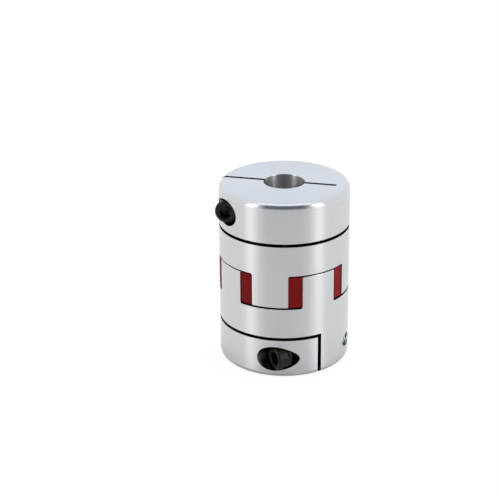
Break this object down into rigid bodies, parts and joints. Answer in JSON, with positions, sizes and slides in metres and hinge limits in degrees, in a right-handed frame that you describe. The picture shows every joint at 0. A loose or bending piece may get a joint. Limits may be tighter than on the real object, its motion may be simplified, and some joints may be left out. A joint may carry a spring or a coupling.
{
  "type": "flexible shaft coupling",
  "caption": "Cylindrical zero-backlash jaw coupling: two aluminium clamp hubs with interlocking claws around a red elastic spider, joining two shafts end to end.",
  "frame": {"origin": "centre of the lower end face, on the shaft axis", "axes": "+Z along the shaft axis from the lower hub to the upper hub; the end-face slit of the upper hub lies along X with its open end on -X and its clamp arm on -Y"},
  "size_m": [0.055, 0.058, 0.078],
  "materials": {
    "hub_aluminium": "turned and polished",
    "spider_elastomer": "satin polyurethane",
    "screw_steel": "black oxide"
  },
  "bodies": {
    "root": {"lower_hub": "hub_aluminium", "spider": "spider_elastomer", "upper_hub": "hub_aluminium", "lower_clamp_screw": "screw_steel", "upper_clamp_screw": "screw_steel"}
  },
  "joints": []
}
